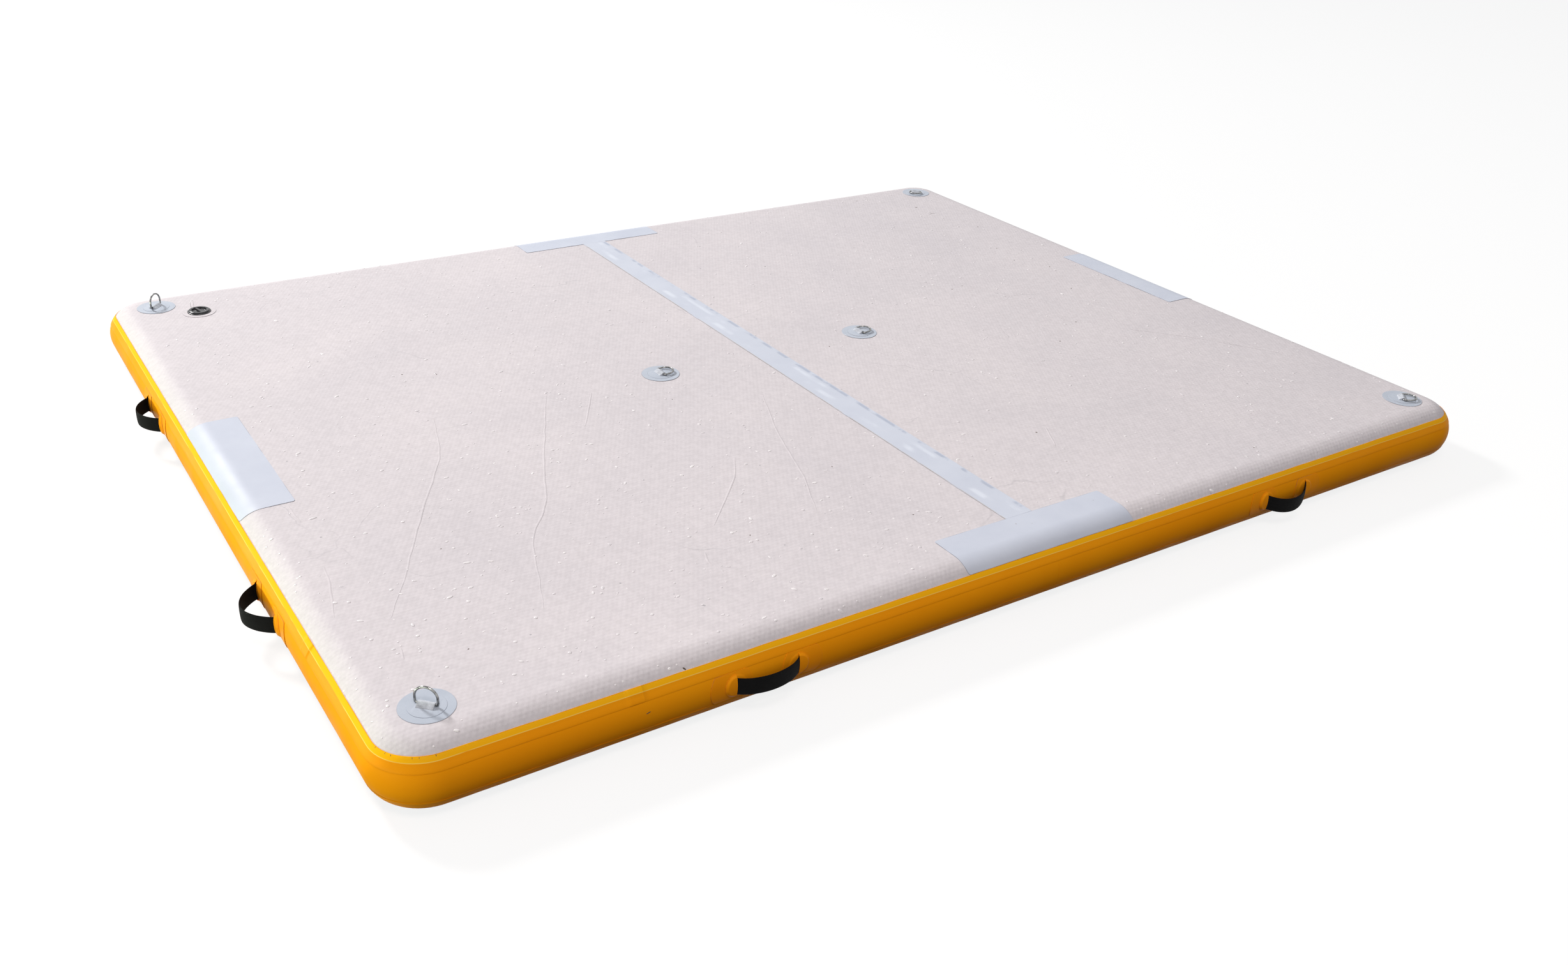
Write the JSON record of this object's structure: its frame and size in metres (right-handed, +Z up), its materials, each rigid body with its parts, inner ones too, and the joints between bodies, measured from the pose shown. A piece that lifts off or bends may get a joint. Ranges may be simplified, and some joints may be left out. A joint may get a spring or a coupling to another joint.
{
  "type": "inflatable floating dock",
  "caption": "Flat rectangular inflatable dock with rolled yellow edges, tie-down rings on the deck, webbing grab handles on its sides and a corner inflation valve.",
  "frame": {"origin": "middle of the underside", "axes": "+X along the long side, +Y along the short side away from the pictured front, +Z up through the deck"},
  "size_m": [3.1506, 2.5006, 0.1954],
  "materials": {
    "deck_skin": "textured",
    "base_skin": "textured",
    "rail": "satin",
    "handle_patch": "satin",
    "panel": "satin",
    "webbing": "woven",
    "yarn": "woven",
    "steel": "polished",
    "moulding": "glossy",
    "seal": "matte",
    "tether": "clear"
  },
  "bodies": {
    "dock": {"deck_sheet_left": "deck_skin", "deck_sheet_right": "deck_skin", "bottom_sheet_left": "base_skin", "bottom_sheet_right": "base_skin", "side_wall_left": "rail", "side_wall_right": "rail", "upper_rail_tape": "rail", "lower_rail_tape": "rail", "front_panel": "panel", "rear_panel": "panel", "left_panel": "panel", "right_panel": "panel", "deck_seam_strip": "panel", "inner_seam_strip": "base_skin", "drop_stitch_core_left": "yarn", "drop_stitch_core_right": "yarn", "ring_near_pad": "panel", "ring_left_pad": "panel", "ring_far_pad": "panel", "ring_right_pad": "panel", "ring_centre_left_pad": "panel", "ring_centre_right_pad": "panel", "handle_front_left_strap": "webbing", "handle_front_left_patch_left": "handle_patch", "handle_front_left_patch_right": "handle_patch", "handle_front_right_strap": "webbing", "handle_front_right_patch_left": "handle_patch", "handle_front_right_patch_right": "handle_patch", "handle_right_near_strap": "webbing", "handle_right_near_patch_left": "handle_patch", "handle_right_near_patch_right": "handle_patch", "handle_right_far_strap": "webbing", "handle_right_far_patch_left": "handle_patch", "handle_right_far_patch_right": "handle_patch", "handle_rear_right_strap": "webbing", "handle_rear_right_patch_left": "handle_patch", "handle_rear_right_patch_right": "handle_patch", "handle_rear_left_strap": "webbing", "handle_rear_left_patch_left": "handle_patch", "handle_rear_left_patch_right": "handle_patch", "handle_left_far_strap": "webbing", "handle_left_far_patch_left": "handle_patch", "handle_left_far_patch_right": "handle_patch", "handle_left_near_strap": "webbing", "handle_left_near_patch_left": "handle_patch", "handle_left_near_patch_right": "handle_patch", "valve_patch": "deck_skin", "valve_body": "moulding", "valve_backing_nut": "moulding", "poppet_spring": "steel", "cap_tether": "tether"},
    "ring_near": {"ring_near": "steel"},
    "ring_left": {"ring_left": "steel"},
    "ring_far": {"ring_far": "steel"},
    "ring_right": {"ring_right": "steel"},
    "ring_centre_left": {"ring_centre_left": "steel"},
    "ring_centre_right": {"ring_centre_right": "steel"},
    "valve_cap": {"valve_cap": "moulding", "cap_seal": "seal"},
    "valve_poppet": {"valve_poppet": "moulding"}
  },
  "joints": [
    {"name": "ring_near_flip", "type": "hinge", "parent": "dock", "child": "ring_near", "pos_m": [-1.393, -1.088, 0.1572], "axis": [0.7071, -0.7071, 0], "range_deg": [-88, 88]},
    {"name": "ring_left_flip", "type": "hinge", "parent": "dock", "child": "ring_left", "pos_m": [-1.393, 1.088, 0.1572], "axis": [0.7071, 0.7071, 0], "range_deg": [-88, 88]},
    {"name": "ring_far_flip", "type": "hinge", "parent": "dock", "child": "ring_far", "pos_m": [1.393, 1.088, 0.1572], "axis": [0.7071, -0.7071, 0], "range_deg": [-174, 2]},
    {"name": "ring_right_flip", "type": "hinge", "parent": "dock", "child": "ring_right", "pos_m": [1.393, -1.088, 0.1572], "axis": [0.7071, 0.7071, 0], "range_deg": [-174, 2]},
    {"name": "ring_centre_left_flip", "type": "hinge", "parent": "dock", "child": "ring_centre_left", "pos_m": [-0.332, 0, 0.1572], "axis": [0, 1, 0], "range_deg": [-174, 2]},
    {"name": "ring_centre_right_flip", "type": "hinge", "parent": "dock", "child": "ring_centre_right", "pos_m": [0.332, 0, 0.1572], "axis": [0, 1, 0], "range_deg": [-174, 2]},
    {"name": "cap_turn", "type": "hinge", "parent": "dock", "child": "valve_cap", "pos_m": [-1.294, 1.001, 0.1563], "axis": [0, 0, 1], "range_deg": [0, 90]},
    {"name": "poppet_push", "type": "slide", "parent": "dock", "child": "valve_poppet", "axis": [0, 0, -1], "range_m": [0, 0.008], "stiffness_N_per_m": 300, "springref_m": -0.01, "deforming": ["poppet_spring"]}
  ]
}
